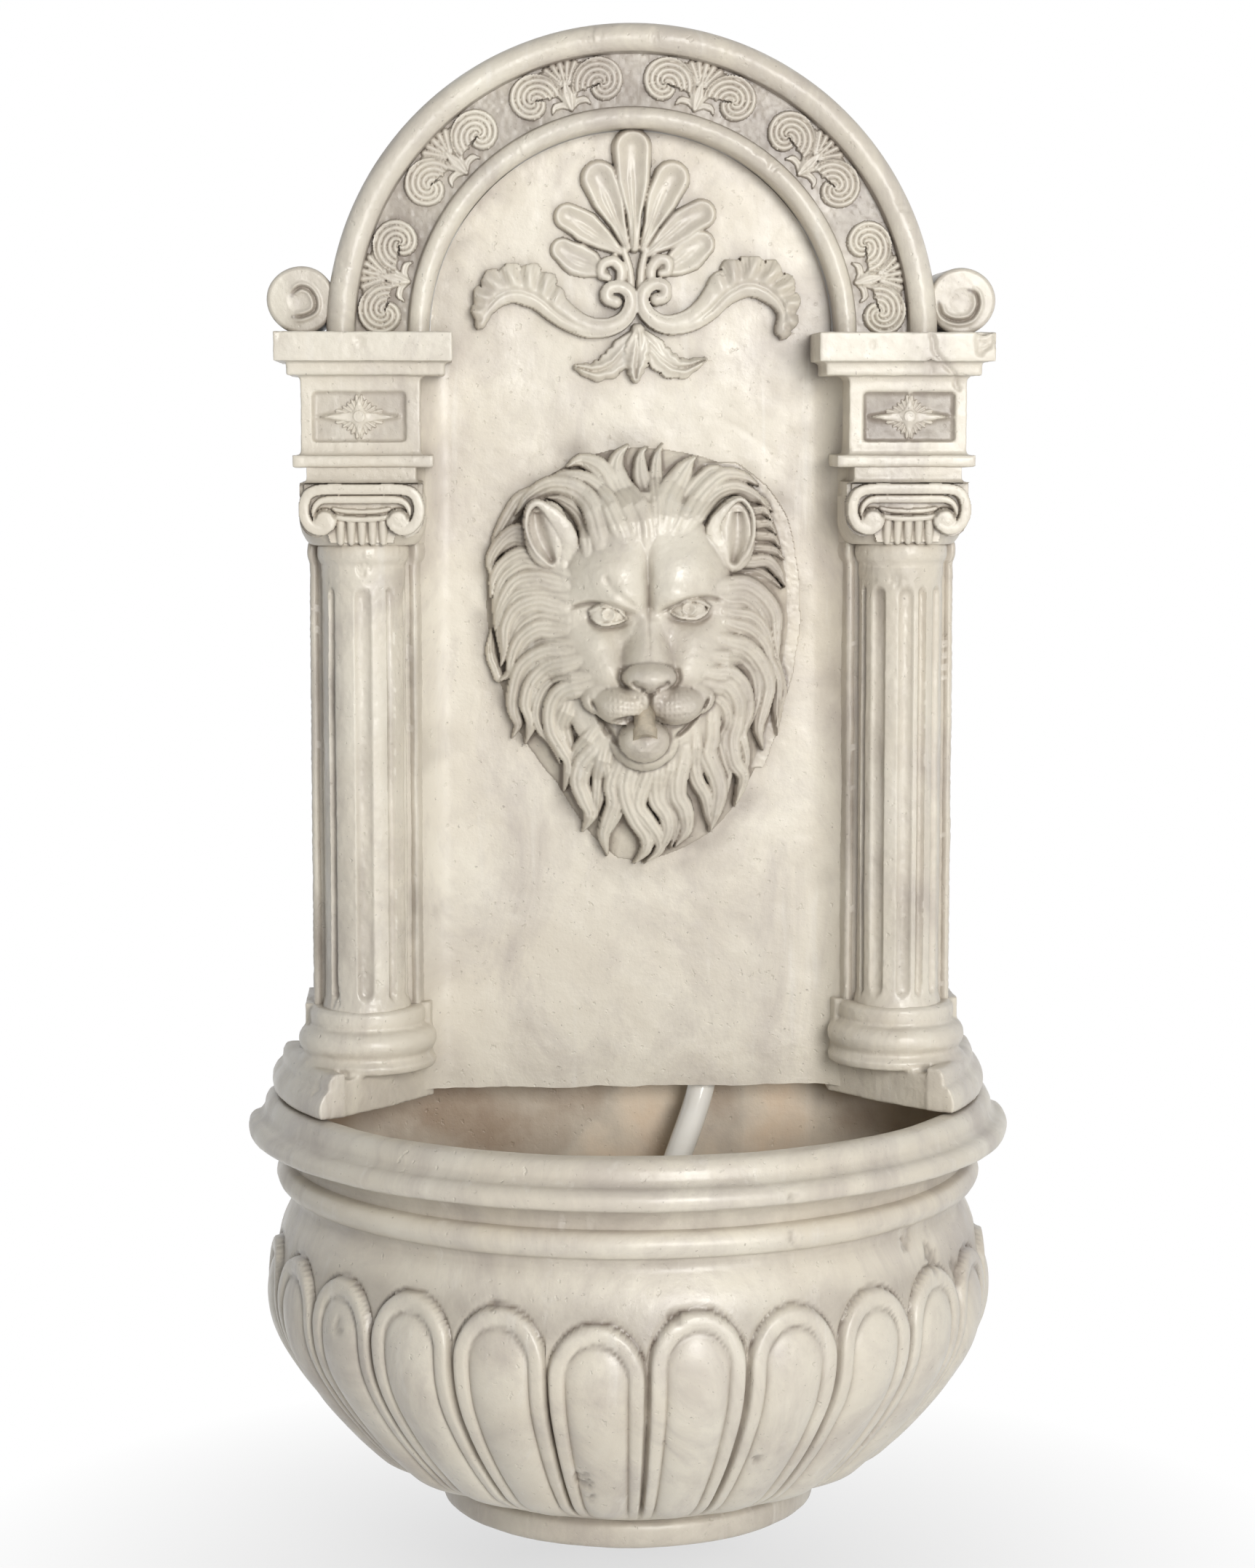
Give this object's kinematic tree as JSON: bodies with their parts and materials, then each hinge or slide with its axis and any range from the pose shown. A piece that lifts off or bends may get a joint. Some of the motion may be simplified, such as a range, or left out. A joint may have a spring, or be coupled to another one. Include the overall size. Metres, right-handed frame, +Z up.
{
  "type": "wall fountain",
  "caption": "Half-round wall fountain with a gadrooned basin, arched niche, fluted columns and a lion mask spout fed by a small submersible pump.",
  "frame": {"origin": "on the wall plane, on the centre line, level with the underside of the bowl's foot", "axes": "+Z up, the front faces -Y, +X to the right as seen by someone facing the fountain; +Y points into the wall"},
  "size_m": [0.412, 0.206, 0.79],
  "materials": {
    "cast_stone": "stone-effect resin, antique ivory with a grey wash in the recesses",
    "spout_metal": "dulled tube",
    "clear_hose": "milky clear vinyl",
    "pump_plastic": "moulded black",
    "sponge": "open-cell foam",
    "dial_plastic": "moulded blue-grey",
    "impeller_plastic": "moulded white",
    "magnet": "ferrite",
    "shaft_ceramic": "ground white ceramic",
    "seal_rubber": "soft black",
    "hanger_steel": "zinc plated"
  },
  "bodies": {
    "fountain": {"basin": "cast_stone", "back_panel": "cast_stone", "arch_surround": "cast_stone", "foot_volute_left": "cast_stone", "foot_volute_right": "cast_stone", "entablature_left": "cast_stone", "entablature_right": "cast_stone", "capital_left": "cast_stone", "capital_right": "cast_stone", "column_left": "cast_stone", "column_right": "cast_stone", "column_base_left": "cast_stone", "column_base_right": "cast_stone", "crest_ornament": "cast_stone", "lion_mask": "cast_stone", "spout_tube": "spout_metal", "delivery_hose": "clear_hose", "pump_housing": "pump_plastic", "volute_cover": "pump_plastic", "rotor_shaft": "shaft_ceramic", "front_bush": "seal_rubber", "rear_bush": "seal_rubber", "chamber_seal": "seal_rubber", "suction_feet": "seal_rubber", "cable_gland": "seal_rubber", "hanger_bar": "hanger_steel", "hanger_screws": "hanger_steel"},
    "rotor": {"impeller": "impeller_plastic", "rotor_magnet": "magnet"},
    "cover": {"front_cover": "pump_plastic", "filter_sponge": "sponge"},
    "dial": {"flow_dial": "dial_plastic"}
  },
  "joints": [
    {"name": "impeller_spin", "type": "hinge", "parent": "fountain", "child": "rotor", "pos_m": [-0.012, -0.07, 0.043], "axis": [1, 0, 0], "continuous": true},
    {"name": "cover_pull", "type": "slide", "parent": "fountain", "child": "cover", "axis": [1, 0, 0], "range_m": [0, 0.02]},
    {"name": "flow_dial_turn", "type": "hinge", "parent": "cover", "child": "dial", "pos_m": [0.032, -0.07, 0.043], "axis": [1, 0, 0], "range_deg": [0, 90]}
  ]
}
